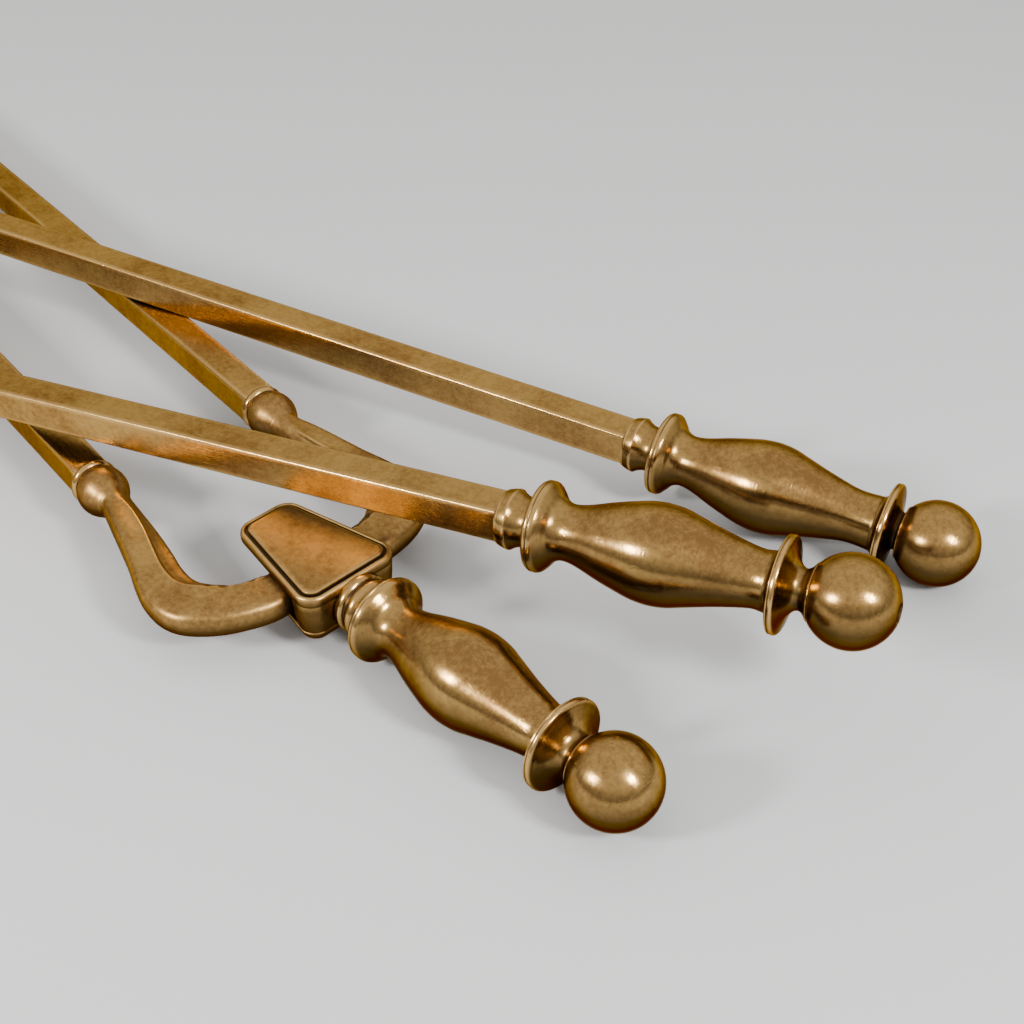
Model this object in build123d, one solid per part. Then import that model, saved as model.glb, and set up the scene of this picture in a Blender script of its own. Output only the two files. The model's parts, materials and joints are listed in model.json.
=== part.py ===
from build123d import *
import os
from math import cos, radians, sin, sqrt, tan

# A set of three brass fire irons, laid crossed on the ground: hinged tongs, a poker and a shovel.
# Every tool is drawn along its own +X, from the centre of its ball finial towards its working
# end, with its axis on Y = Z = 0. The tools are then laid on the ground plane Z = 0.
# All sizes are in millimetres.

# --- Handle, the same on all three tools (stations are measured from the ball's centre)
BALL_R = 14.0
BALL_SEAT = 10.8
NECK_R = 6.1
NECK_SHARE = 0.42
DISH_MID_R = 9.4
DISH_FLANGE_R = 14.8
DISH_FLANGE_THICK = 2.5
FLANGE_FOOT_R = 10.4
EDGE_BREAK = 0.7
DISH_FLANGE_END = 21.2
POKER_FLANGE_END = 17.4
GRIP_END_R = 9.0
BODY_MAX_R = 15.4
BODY_KNOTS = [(28.5, 9.0), (38.0, 11.0), (47.5, 13.5), (57.5, BODY_MAX_R), (66.0, 14.3), (74.0, 12.1),
              (81.0, 9.8), (86.0, 8.8)]
BELL_KNOTS = [(89.6, 9.9), (91.6, 12.2), (93.2, 13.7)]
BELL_FLANGE_R = 14.2
BELL_FLANGE_END = 96.6
ROD_R = 2.5
ROD_IN_BALL = 6.0
TIP_HOLE_R = 2.0
TIP_HOLE_DEPTH = 7.0

# --- Ferrules and square shafts
FERRULE_END = 108.0
FERRULE_FOOT_R = 11.4
FERRULE_STEP_R = 9.0
FERRULE_EDGE = 104.3
FERRULE_EDGE_R = 9.5
FERRULE_NECK_R = 7.8
FERRULE_NOSE_R = 8.7
TONGS_COVE_R = 8.4
TONGS_BEAD_R = 10.3
TONGS_GROOVE_R = 8.8
TONGS_RING_R = 9.8
SHAFT = 11.8
SHAFT_EDGE = 0.8
ROD_IN_SHAFT = 14.0

# --- Tongs: hinge housing, covers and pins
TONGS_Z = BODY_MAX_R
HOUSING_START = 108.0
HOUSING_TIP = 154.6
UNDER_TIP = 143.0
HOUSING_HALF_WIDE = 19.4
HOUSING_HALF_NARROW = 10.6
HOUSING_HEIGHT = 18.0
HOUSING_GAP = 10.0
HOUSING_CORNER = 6.0
HOUSING_ROUND = 1.3
HEEL_WALL = 9.7
RIB_HALF = 1.6
RIB_TIP = 148.0
COVER_INSET = 2.0
COVER_PLAY = 0.4
COVER_RISE = 1.2
COVER_SINK = 0.8
COVER_ROUND = 0.8
PIVOT = (129.0, 9.0)
PIN_R = 2.4
PIN_PLAY = 0.06

# --- Tongs arms, drawn closed, for the side of the tongs with positive Y
ARM_THICK = 9.4
EYE_R = 6.0
ARM_ROUND = 2.6
SHAFT_ROOT = (218.7, 30.3)
SHAFT_LEAN = 2.5
BOW_OUTER = [(123.0, 9.0, 0), (120.6, 24.0, 40), (126.5, 48.6, 13), (150.0, 49.4, 30), (204.0, 36.2, 0)]
BOW_INNER = [(204.0, 25.8, 0), (152.0, 32.6, 40), (138.6, 32.0, 7), (135.4, 20.0, 20), (135.0, 9.0, 0)]
BULB_R = 8.7
BULB_NECK_R = 4.2
BULB_NECK_START = -26.0
BULB_KNOTS = [(-19.0, 4.8), (-14.0, 6.6), (-10.0, 8.3), (-6.8, BULB_R), (-3.4, 8.4), (-0.9, 7.4)]
BULB_GROOVE_R = 7.0
ARM_BEAD_R = 8.3
ARM_BEAD_LENGTH = 3.0
TONGS_SHAFT_LENGTH = 418.0
CLAW_R = BODY_MAX_R
CLAW_THICK = 4.4
CLAW_ROUND = 1.2
CLAW_BACK_SET = 8.0
CLAW_CUP_R = 8.5
CLAW_CUP_DEPTH = 1.8
CLAW_LAP = 26.0
LAP_THICK = 5.0
LAP_MARGIN = 0.8
CLAW_RIVET_R = 2.5
CLAW_RIVET_FIRST = 12.0
CLAW_RIVET_PITCH = 15.0
NEAR_TURN = -5.5
FAR_TURN = -9.35

# --- Poker
POKER_SHAFT_END = 628.0
POKER_TIP_END = 690.0
POKER_COLLAR = 6.0
POKER_COLLAR_R = 8.3
POKER_ROOT = 10.8
POKER_POINT = 3.0

# --- Shovel
SHOVEL_SHAFT_END = 552.0
SOCKET_LENGTH = 34.0
SOCKET_RING_R = 9.6
SOCKET_NECK_R = 6.6
SOCKET_FOOT_R = 17.6
SOCKET_INTO_PAN = 2.0
PAN_LENGTH = 128.0
PAN_WIDTH = 96.0
PAN_BACK = 40.0
PAN_LIP = 5.0
PAN_SLOPE_START = 22.0
PAN_SLOPE_MID = (52.0, 25.0)
SHEET = 1.6
PAN_CORNER = 12.0
RIVET_R = 2.2
RIVET_SPREAD = 12.0
RIVET_ANGLES = (30, 150, 270)
RIVET_BEHIND = 4.0
RIVET_PROUD = 1.2

# --- How the tools lie: ball centre (x, y, z), heading and rise towards the working end
SHOVEL_BALL = (-19.1, -76.2, 44.1)
SHOVEL_HEADING = 20.0
SHOVEL_RISE = -2.26
POKER_BALL = (-3.1, -147.5, 14.1)
POKER_HEADING = 16.9
POKER_RISE = 2.55


def turned(lines):
    """Solid of revolution about X from an outline drawn in the X-Y half plane."""
    return revolve(make_face(lines), Axis.X, 360)


def ring_of(points):
    """Turned solid whose outline is straight between its points, closed along the axis."""
    closed = points + [(points[-1][0], 0), (points[0][0], 0)]
    return turned(Polyline(*closed, close=True))


def rod(start, end, radius):
    """Round bar along X."""
    return Pos((start + end) / 2, 0, 0) * Rot(0, 90, 0) * Cylinder(radius, end - start)


def square_bar(start, end):
    """Square shaft along X with slightly broken long edges."""
    bar = Pos((start + end) / 2, 0, 0) * Box(end - start, SHAFT, SHAFT)
    return fillet(bar.edges().filter_by(Axis.X), SHAFT_EDGE)


def make_ball(tip_hole):
    """Ball finial, cut flat on its seat and bored for the tie rod."""
    ball = Sphere(BALL_R) & Pos(BALL_SEAT - BALL_R, 0, 0) * Box(2 * BALL_R, 2 * BALL_R, 2 * BALL_R)
    ball -= rod(BALL_SEAT - ROD_IN_BALL - 1, BALL_SEAT, ROD_R)
    if tip_hole:
        ball -= rod(-BALL_R, -BALL_R + TIP_HOLE_DEPTH, TIP_HOLE_R)
    return ball


def make_grip(flange_end):
    """Baluster grip with a dished flange at the ball and a bell flange at the shaft."""
    seat_r = sqrt(BALL_R ** 2 - BALL_SEAT ** 2)
    flange_start = flange_end - DISH_FLANGE_THICK
    neck = BALL_SEAT + NECK_SHARE * (flange_start - BALL_SEAT)
    seat = Polyline((BALL_SEAT, 0), (BALL_SEAT, seat_r), (BALL_SEAT + EDGE_BREAK, seat_r - 0.3))
    dish = Spline(seat @ 1, (neck, NECK_R), (flange_start - 1.2, DISH_MID_R),
                  (flange_start, DISH_FLANGE_R - EDGE_BREAK))
    rim = Polyline(dish @ 1, (flange_start + EDGE_BREAK, DISH_FLANGE_R),
                   (flange_end - EDGE_BREAK, DISH_FLANGE_R), (flange_end, DISH_FLANGE_R - EDGE_BREAK),
                   (flange_end + 0.9, FLANGE_FOOT_R), (flange_end + 2.6, GRIP_END_R))
    body = Spline(rim @ 1, *BODY_KNOTS, *BELL_KNOTS)
    end = Polyline(body @ 1, (BELL_KNOTS[-1][0] + 0.5, BELL_FLANGE_R),
                   (BELL_FLANGE_END - EDGE_BREAK, BELL_FLANGE_R),
                   (BELL_FLANGE_END, BELL_FLANGE_R - EDGE_BREAK), (BELL_FLANGE_END, 0), (BALL_SEAT, 0))
    grip = turned(seat + dish + rim + body + end)
    return grip - rod(BALL_SEAT, BELL_FLANGE_END, ROD_R)


def make_ferrule():
    """Turned ferrule of a straight tool: a cove, and a ring that tapers to the shaft."""
    start = BELL_FLANGE_END
    neck = Polyline((start, 0), (start, FERRULE_FOOT_R), (start + 0.5, FERRULE_STEP_R))
    cove = Spline(neck @ 1, (start + 2.8, FERRULE_NECK_R), (FERRULE_EDGE - 0.6, FERRULE_EDGE_R - 0.4))
    ring = Polyline(cove @ 1, (FERRULE_EDGE, FERRULE_EDGE_R), (FERRULE_EDGE + 0.6, FERRULE_EDGE_R),
                    (FERRULE_END - 0.3, FERRULE_NOSE_R), (FERRULE_END, FERRULE_NOSE_R - 0.3),
                    (FERRULE_END, 0), (start, 0))
    return turned(neck + cove + ring) - rod(start, FERRULE_END, ROD_R)


def make_tongs_ferrule():
    """Turned ferrule between the tongs grip and the housing: a bead and a ring with coves."""
    start = BELL_FLANGE_END
    neck = Polyline((start, 0), (start, FERRULE_FOOT_R), (start + 0.5, FERRULE_STEP_R))
    cove = Spline(neck @ 1, (start + 1.8, TONGS_COVE_R), (start + 3.0, TONGS_COVE_R + EDGE_BREAK))
    bead = ThreePointArc(cove @ 1, (start + 5.0, TONGS_BEAD_R), (start + 7.0, TONGS_BEAD_R - 1))
    ring = Polyline(bead @ 1, (start + 7.3, TONGS_GROOVE_R), (start + 8.1, TONGS_GROOVE_R),
                    (start + 8.5, TONGS_RING_R), (HOUSING_START - 0.6, TONGS_RING_R),
                    (HOUSING_START, TONGS_RING_R - 0.3), (HOUSING_START, 0), (start, 0))
    return turned(neck + cove + bead + ring) - rod(start, HOUSING_START, ROD_R)


def add_handle(nodes, tool, ferrule, rod_end, flange_end=DISH_FLANGE_END, tip_hole=False):
    """Ball, grip, ferrule and tie rod of one tool, in the tool's own axes."""
    nodes[tool + "_ball"] = make_ball(tip_hole)
    nodes[tool + "_grip"] = make_grip(flange_end)
    nodes[tool + "_ferrule"] = ferrule
    nodes[tool + "_tie_rod"] = rod(BALL_SEAT - ROD_IN_BALL, rod_end, ROD_R)


def trapezoid(inset, tip):
    """Plan outline of a housing plate that ends at a tip, shrunk by an inset, with rounded corners."""
    slope = (HOUSING_HALF_WIDE - HOUSING_HALF_NARROW) / (HOUSING_TIP - HOUSING_START)
    x0, x1 = HOUSING_START + inset, tip - inset
    y0 = HOUSING_HALF_WIDE - inset - slope * (x0 - HOUSING_START)
    y1 = HOUSING_HALF_WIDE - inset - slope * (x1 - HOUSING_START)
    outline = make_face(Polyline((x0, -y0), (x1, -y1), (x1, y1), (x0, y0), close=True))
    return fillet(outline.vertices(), HOUSING_CORNER - inset)


def slab(face, low, high):
    """Plan outline extruded between two heights."""
    return Pos(0, 0, low) * extrude(face, high - low)


def make_plate(tip):
    """Side plate of the housing with its outer rim rounded, drawn on the upper side."""
    plate = slab(trapezoid(0, tip), HOUSING_GAP / 2, HOUSING_HEIGHT / 2)
    plate = fillet(plate.edges().filter_by(Plane.XY).group_by(Axis.Z)[-1], HOUSING_ROUND)
    pocket = slab(trapezoid(COVER_INSET, tip), HOUSING_HEIGHT / 2 - COVER_SINK, HOUSING_HEIGHT / 2)
    return plate - pocket


def make_housing():
    """Two side plates joined by a heel wall and a central rib; the arms swing between them."""
    slot_start = HOUSING_START + HEEL_WALL
    heel = slab(trapezoid(0, HOUSING_TIP), -HOUSING_GAP / 2, HOUSING_GAP / 2)
    wall = Box(HEEL_WALL, 2 * HOUSING_HALF_WIDE, HOUSING_GAP, align=(Align.MIN, Align.CENTER, Align.CENTER))
    heel &= Pos(HOUSING_START, 0, 0) * wall
    rib = Box(RIB_TIP - slot_start, 2 * RIB_HALF, HOUSING_GAP, align=(Align.MIN, Align.CENTER, Align.CENTER))
    body = make_plate(HOUSING_TIP) + mirror(make_plate(UNDER_TIP), Plane.XY)
    body += heel + Pos(slot_start, 0, 0) * rib
    for side in (1, -1):
        body -= Pos(PIVOT[0], side * PIVOT[1], 0) * Cylinder(PIN_R, HOUSING_HEIGHT)
    return body - rod(HOUSING_START, HOUSING_START + HEEL_WALL, ROD_R)


def make_cover(tip):
    """Raised cover panel let into a plate of the housing, over the pin heads, on the upper side."""
    half = HOUSING_HEIGHT / 2
    panel = slab(trapezoid(COVER_INSET + COVER_PLAY, tip), half - COVER_SINK, half + COVER_RISE)
    return fillet(panel.edges().filter_by(Plane.XY).group_by(Axis.Z)[-1], COVER_ROUND)


def make_pin(side):
    """Hinge pin, held in both plates and covered by the panels."""
    length = HOUSING_HEIGHT - 2 * COVER_SINK
    return Pos(PIVOT[0], side * PIVOT[1], 0) * Cylinder(PIN_R, length)


def make_bow():
    """Cast lyre-shaped arm from the pivot eye to its turned bulb, drawn closed, on the +Y side."""
    corners = BOW_OUTER + BOW_INNER
    plan = make_face(Polyline(*[(x, y) for x, y, radius in corners], close=True))
    for x, y, radius in corners:
        if radius:
            plan = fillet(plan.vertices().sort_by_distance((x, y, 0))[0], radius)
    bow = slab(plan, -ARM_THICK / 2, ARM_THICK / 2)
    bow += Pos(PIVOT[0], PIVOT[1], 0) * Cylinder(EYE_R, ARM_THICK)
    rims = bow.edges().filter_by(Plane.XY).group_by(Axis.Z)
    beyond_eye = (rims[0] + rims[-1]).filter_by(lambda edge: edge.center().Y > PIVOT[1] + 0.5)
    bow = fillet(beyond_eye.filter_by(lambda edge: edge.center().X < BOW_OUTER[-1][0] - 0.1), ARM_ROUND)
    bow += along_shaft(make_bulb())
    return bow - Pos(PIVOT[0], PIVOT[1], 0) * Cylinder(PIN_R + PIN_PLAY, ARM_THICK)


def make_bulb():
    """Turned neck, bulb and groove; X = 0 is the face that meets the bead."""
    neck = Polyline((BULB_NECK_START, 0), (BULB_NECK_START, BULB_NECK_R))
    swell = Spline(neck @ 1, *BULB_KNOTS, tangents=[(1, 0), (0.6, -1)])
    end = Polyline(swell @ 1, (BULB_KNOTS[-1][0], BULB_GROOVE_R), (0, BULB_GROOVE_R), (0, 0),
                   (BULB_NECK_START, 0))
    return Pos(-ARM_BEAD_LENGTH, 0, 0) * turned(neck + swell + end)


def make_bead():
    """Turned bead ring that the square shaft butts against; X = 0 is the shaft's end."""
    start = -ARM_BEAD_LENGTH
    side_r = ARM_BEAD_R - EDGE_BREAK
    lead = Polyline((start, 0), (start, side_r - 0.4), (start + 0.4, side_r))
    crown = ThreePointArc(lead @ 1, (start / 2, ARM_BEAD_R), (-0.4, side_r))
    end = Polyline(crown @ 1, (0, side_r - 0.4), (0, 0), (start, 0))
    return turned(lead + crown + end)


def along_shaft(shape):
    """Moves a piece drawn along X to the start of the closed arm's shaft."""
    return Pos(SHAFT_ROOT[0], SHAFT_ROOT[1], 0) * Rot(0, 0, -SHAFT_LEAN) * shape


def claw_face_y():
    """Height of the claw's gripping face in the shaft's own axes, at the claw's centre."""
    station = SHAFT_ROOT[1] / cos(radians(SHAFT_LEAN)) - 0.4
    return -(station - TONGS_SHAFT_LENGTH * tan(radians(SHAFT_LEAN)))


def make_claw():
    """Cupped round pad with a lap that is riveted to the inner side of the shaft."""
    centre = (TONGS_SHAFT_LENGTH - CLAW_BACK_SET, claw_face_y() + 0.8 + CLAW_THICK / 2)
    pad = Rot(90, 0, 0) * Cylinder(CLAW_R, CLAW_THICK)
    pad = fillet(pad.edges(), CLAW_ROUND)
    cup_r = (CLAW_CUP_R ** 2 + CLAW_CUP_DEPTH ** 2) / (2 * CLAW_CUP_DEPTH)
    pad -= Pos(0, -CLAW_THICK / 2 + CLAW_CUP_DEPTH - cup_r, 0) * Sphere(cup_r)
    return Pos(*centre, 0) * Rot(0, 0, SHAFT_LEAN) * pad


def arm_nodes(nodes, side, name, turn):
    """Bow, bead, shaft, claw and rivet of one arm, swung to where it lies."""
    lap_y = -SHAFT / 2 + LAP_THICK
    shaft = square_bar(0, TONGS_SHAFT_LENGTH)
    claw = make_claw()
    lap_bottom = claw.bounding_box().max.Y - CLAW_CUP_DEPTH
    lap_length = CLAW_LAP + CLAW_R
    notch = Box(lap_length, 2 * SHAFT, 2 * SHAFT, align=(Align.MIN, Align.MAX, Align.CENTER))
    shaft -= Pos(TONGS_SHAFT_LENGTH - lap_length, lap_y, 0) * notch
    lap_width = SHAFT - 2 * LAP_MARGIN
    lap = Box(lap_length, lap_y - lap_bottom, lap_width, align=(Align.MIN, Align.MIN, Align.CENTER))
    claw += Pos(TONGS_SHAFT_LENGTH - lap_length, lap_bottom, 0) * lap
    rivet_x = TONGS_SHAFT_LENGTH - lap_length + CLAW_RIVET_FIRST
    rivets = []
    for x in (rivet_x, rivet_x + CLAW_RIVET_PITCH):
        shank = Rot(90, 0, 0) * Cylinder(CLAW_RIVET_R, SHAFT / 2 - lap_bottom)
        shank = Pos(x, (SHAFT / 2 + lap_bottom) / 2, 0) * shank
        shaft -= shank
        claw -= shank
        rivets.append(shank)
    pieces = {
        "_arm_bow": make_bow(),
        "_arm_bead": along_shaft(make_bead()),
        "_shaft": along_shaft(shaft),
        "_claw": along_shaft(claw),
        "_claw_rivets": along_shaft(Compound(rivets)),
    }
    swing = Pos(PIVOT[0], PIVOT[1], 0) * Rot(0, 0, turn) * Pos(-PIVOT[0], -PIVOT[1], 0)
    for suffix, piece in pieces.items():
        piece = swing * piece
        nodes[name + suffix] = piece if side > 0 else mirror(piece, Plane.XZ)


def make_poker_tip():
    """Forged square point behind a turned collar."""
    start = POKER_SHAFT_END + POKER_COLLAR
    collar = ring_of([(POKER_SHAFT_END, POKER_COLLAR_R - EDGE_BREAK), (POKER_SHAFT_END + 1, POKER_COLLAR_R),
                      (start - 1, POKER_COLLAR_R), (start, POKER_COLLAR_R - EDGE_BREAK)])
    wide = Plane.YZ.offset(start) * Rectangle(POKER_ROOT, POKER_ROOT)
    point = Plane.YZ.offset(POKER_TIP_END) * Rectangle(POKER_POINT, POKER_POINT)
    return collar + loft([wide, point])


def make_socket():
    """Tapered round socket between the shovel's shaft and the back of the pan."""
    start, end = SHOVEL_SHAFT_END, SHOVEL_SHAFT_END + SOCKET_LENGTH
    ring = Polyline((start, 0), (start, SOCKET_RING_R - 0.4), (start + 1.4, SOCKET_RING_R),
                    (start + 4, SOCKET_RING_R - 0.4), (start + 5, SOCKET_NECK_R + 0.8))
    sweep_out = Spline(ring @ 1, (start + 16, SOCKET_NECK_R), (end - 3.2, SOCKET_NECK_R + 3.8))
    foot = Polyline(sweep_out @ 1, (end - 3.0, SOCKET_FOOT_R - 0.6), (end - 0.8, SOCKET_FOOT_R),
                    (end, SOCKET_FOOT_R), (end, 0), (start, 0))
    return turned(ring + sweep_out + foot)


def make_pan():
    """Sheet pan, level on the ground: X = 0 is the outside of its back wall, Y = 0 its middle."""
    profile = Polyline((0, 0), (PAN_LENGTH, 0), (PAN_LENGTH, PAN_LIP), PAN_SLOPE_MID,
                       (PAN_SLOPE_START, PAN_BACK), (0, PAN_BACK), close=True)
    side = extrude(Plane.XZ * make_face(profile), PAN_WIDTH / 2, both=True)
    outer = fillet(side.edges().filter_by(Axis.Z).group_by(Axis.X)[0], PAN_CORNER)
    inside = (PAN_LENGTH * 2, PAN_WIDTH - 2 * SHEET, PAN_BACK * 2)
    hollow = Box(*inside, align=(Align.MIN, Align.CENTER, Align.MIN))
    hollow = fillet(hollow.edges().filter_by(Axis.Z).group_by(Axis.X)[0], PAN_CORNER - SHEET)
    return outer - Pos(SHEET, 0, SHEET) * hollow


def rivet_group(radius, length, heads):
    """Round rivets along X at each (y, z) place, from X = 0."""
    group = [Pos(length / 2, y, z) * Rot(0, 90, 0) * Cylinder(radius, length) for y, z in heads]
    return Compound(group)


def lay(shape, ball, heading, rise):
    """Lays a tool drawn along X: its ball centre, its heading and its rise in degrees."""
    return Pos(*ball) * Rot(0, 0, heading) * Rot(0, -rise, 0) * shape


def tongs_nodes():
    nodes = {}
    add_handle(nodes, "tongs", make_tongs_ferrule(), HOUSING_START + HEEL_WALL)
    nodes["hinge_housing"] = make_housing()
    nodes["top_cover"] = make_cover(HOUSING_TIP)
    nodes["bottom_cover"] = mirror(make_cover(UNDER_TIP), Plane.XY)
    nodes["near_hinge_pin"] = make_pin(1)
    nodes["far_hinge_pin"] = make_pin(-1)
    arm_nodes(nodes, 1, "near", NEAR_TURN)
    arm_nodes(nodes, -1, "far", -FAR_TURN)
    return {name: Pos(0, 0, TONGS_Z) * shape for name, shape in nodes.items()}


def poker_nodes():
    nodes = {}
    add_handle(nodes, "poker", make_ferrule(), FERRULE_END + ROD_IN_SHAFT, POKER_FLANGE_END)
    shaft = square_bar(FERRULE_END, POKER_SHAFT_END)
    nodes["poker_shaft"] = shaft - rod(FERRULE_END, FERRULE_END + ROD_IN_SHAFT, ROD_R)
    nodes["poker_tip"] = make_poker_tip()
    return {name: lay(shape, POKER_BALL, POKER_HEADING, POKER_RISE) for name, shape in nodes.items()}


def shovel_nodes():
    nodes = {}
    add_handle(nodes, "shovel", make_ferrule(), FERRULE_END + ROD_IN_SHAFT, tip_hole=True)
    shaft = square_bar(FERRULE_END, SHOVEL_SHAFT_END)
    nodes["shovel_shaft"] = shaft - rod(FERRULE_END, FERRULE_END + ROD_IN_SHAFT, ROD_R)
    socket = make_socket()
    placed = {name: lay(shape, SHOVEL_BALL, SHOVEL_HEADING, SHOVEL_RISE) for name, shape in nodes.items()}

    # The pan lies level, so the socket's foot is cut along the upright back wall of the pan.
    end = SHOVEL_SHAFT_END + SOCKET_LENGTH
    wall = end - SOCKET_INTO_PAN
    run = wall * cos(radians(SHOVEL_RISE))
    back_x = SHOVEL_BALL[0] + run * cos(radians(SHOVEL_HEADING))
    back_y = SHOVEL_BALL[1] + run * sin(radians(SHOVEL_HEADING))
    level = Pos(back_x, back_y, 0) * Rot(0, 0, SHOVEL_HEADING)
    foot_z = SHOVEL_BALL[2] + wall * sin(radians(SHOVEL_RISE))
    beyond = Box(PAN_LENGTH, PAN_WIDTH, PAN_WIDTH, align=(Align.MIN, Align.CENTER, Align.MIN))
    socket = lay(socket, SHOVEL_BALL, SHOVEL_HEADING, SHOVEL_RISE) - level * beyond
    heads = []
    for angle in RIVET_ANGLES:
        turn = radians(angle)
        heads.append((RIVET_SPREAD * cos(turn), foot_z + RIVET_SPREAD * sin(turn)))
    length = RIVET_BEHIND + SHEET + RIVET_PROUD
    rivets = level * Pos(-RIVET_BEHIND, 0, 0) * rivet_group(RIVET_R, length, heads)
    placed["shovel_socket"] = socket - rivets
    placed["shovel_pan"] = level * make_pan() - rivets
    placed["shovel_rivets"] = rivets
    return placed


os.makedirs("parts", exist_ok=True)
all_nodes = {**tongs_nodes(), **poker_nodes(), **shovel_nodes()}

# The row frame: the handles point along +X, the origin is under the middle of the whole set.
box = Compound(list(all_nodes.values())).bounding_box()
mid_x, mid_y = (box.min.X + box.max.X) / 2, (box.min.Y + box.max.Y) / 2
for name, shape in all_nodes.items():
    export_step(Rot(0, 0, 180) * Pos(-mid_x, -mid_y, 0) * shape, "parts/" + name + ".step")
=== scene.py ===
import json
import math

import bpy
from mathutils import Matrix, Vector, noise


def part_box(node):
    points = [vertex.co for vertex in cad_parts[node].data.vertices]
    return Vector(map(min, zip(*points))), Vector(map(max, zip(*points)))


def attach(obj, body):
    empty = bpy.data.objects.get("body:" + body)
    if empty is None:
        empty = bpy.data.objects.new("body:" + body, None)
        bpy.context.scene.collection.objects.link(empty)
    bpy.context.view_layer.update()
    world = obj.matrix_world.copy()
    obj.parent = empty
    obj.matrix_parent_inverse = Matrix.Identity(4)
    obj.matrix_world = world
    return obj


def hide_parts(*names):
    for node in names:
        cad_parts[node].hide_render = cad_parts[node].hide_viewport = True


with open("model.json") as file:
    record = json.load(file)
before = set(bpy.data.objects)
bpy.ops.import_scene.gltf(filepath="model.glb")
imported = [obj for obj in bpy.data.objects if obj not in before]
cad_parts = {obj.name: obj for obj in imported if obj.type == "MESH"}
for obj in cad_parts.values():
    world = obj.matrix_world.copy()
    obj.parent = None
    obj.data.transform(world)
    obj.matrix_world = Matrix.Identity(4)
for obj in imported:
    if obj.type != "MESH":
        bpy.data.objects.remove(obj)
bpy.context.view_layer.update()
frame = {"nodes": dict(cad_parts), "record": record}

MM = 0.001
Z = Vector((0, 0, 1))

AROUND = 112                 # points round a turned piece
ON_AXIS = 0.01               # radius at the middle of a turned piece's flat ends

# Driving sizes in millimetres, in each tool's own axes: X runs from its ball's centre along its shaft.
BALL_RADIUS = 14.0
BALL_SEAT = 10.8             # where the ball meets the grip
GRIP_END = 96.6
FERRULE_END = 108.0          # and start of a straight tool's shaft, or of the hinge housing
SHAFT_HALF = 5.9             # half the width of a square shaft


# ---------------------------------------------------------------- places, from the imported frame

def middle(node):
    """Centre of a CAD node's box."""
    low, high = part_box(node)
    return (low + high) / 2


def ball_centre(tool):
    """Centre of a ball finial: it is cut only on the side of its grip, away from +X."""
    low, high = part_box(tool + "_ball")
    radius = (high.z - low.z) / 2
    return Vector((high.x - radius, (low.y + high.y) / 2, (low.z + high.z) / 2))


def axes_along(origin, towards):
    """Local axes at origin, with X towards the other point and Z as near upright as that allows."""
    along = (towards - origin).normalized()
    side = Z.cross(along).normalized()
    up = along.cross(side)
    return Matrix.Translation(origin) @ Matrix((along, side, up)).transposed().to_4x4()


TONGS = axes_along(ball_centre("tongs"), middle("tongs_tie_rod"))
POKER = axes_along(ball_centre("poker"), middle("poker_shaft"))
SHOVEL = axes_along(ball_centre("shovel"), middle("shovel_shaft"))


# ---------------------------------------------------------------- mesh helpers, sizes in millimetres

def smooth_line(points, steps=10):
    """Points of a smooth curve through the given points (Catmull-Rom)."""
    ends = [2 * Vector(points[0]) - Vector(points[1])]
    path = ends + [Vector(p) for p in points] + [2 * Vector(points[-1]) - Vector(points[-2])]
    line = []
    for a, b, c, d in zip(path, path[1:], path[2:], path[3:]):
        for i in range(steps):
            t = i / steps
            line.append(0.5 * (2 * b + (c - a) * t + (2 * a - 5 * b + 4 * c - d) * t ** 2
                               + (3 * b - a - 3 * c + d) * t ** 3))
    return line + [Vector(points[-1])]


def outline_of(start, *runs):
    """Outline through (station, radius) points. Each run goes on from the end of the one before:
    a run of one point is a straight step, a longer one is a smooth curve."""
    line = [Vector(start)]
    for run in runs:
        points = line[-1:] + [Vector(p) for p in run]
        line += points[1:] if len(run) == 1 else smooth_line(points)[1:]
    return line


def hollows(line, reach=1.3, gain=5):
    """How far each point of a line lies in a groove (up to 1) or on an edge (down to -1)."""
    gaps = [(b - a).length for a, b in zip(line, line[1:])]
    spans = [a + b for a, b in zip(gaps[:1] + gaps, gaps + gaps[-1:])]
    depth = []
    for here in line:
        weights = [span * max(0.0, 1 - (p - here).length / reach) for p, span in zip(line, spans)]
        mean = sum(p.y * weight for p, weight in zip(line, weights)) / sum(weights)
        depth.append(max(-1.0, min(1.0, (mean - here.y) * gain)))
    return depth


def add_piece(name, verts, faces, depth, place, body, stands_for, slot, sharp=38):
    """Makes a piece from points in millimetres in its own axes, and sets it on its body.
    depth says for each point how hollow its place is, and sharp is the angle of an edge in degrees."""
    mesh = bpy.data.meshes.new(name)
    mesh.from_pydata([Vector(v) * MM for v in verts], [], faces)
    mesh.shade_smooth()
    mesh.set_sharp_from_angle(angle=math.radians(sharp))
    layer = mesh.attributes.new("hollow", "FLOAT", "POINT")
    layer.data.foreach_set("value", depth)
    piece = bpy.data.objects.new(name, mesh)
    bpy.context.scene.collection.objects.link(piece)
    piece.matrix_world = place
    mesh.materials.append(FINISHES[slot])
    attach(piece, body)
    if stands_for:
        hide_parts(*stands_for)


def grid_faces(rows, columns, mirrored=False):
    """Quads between rings of points and a cap on both end rings, turned over for mirrored points."""
    faces = []
    for i in range(rows - 1):
        for j in range(columns):
            k = (j + 1) % columns
            faces.append((i * columns + j, i * columns + k, (i + 1) * columns + k, (i + 1) * columns + j))
    faces.append(tuple(reversed(range(columns))))
    faces.append(tuple(range((rows - 1) * columns, rows * columns)))
    return [tuple(reversed(face)) for face in faces] if mirrored else faces


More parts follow.
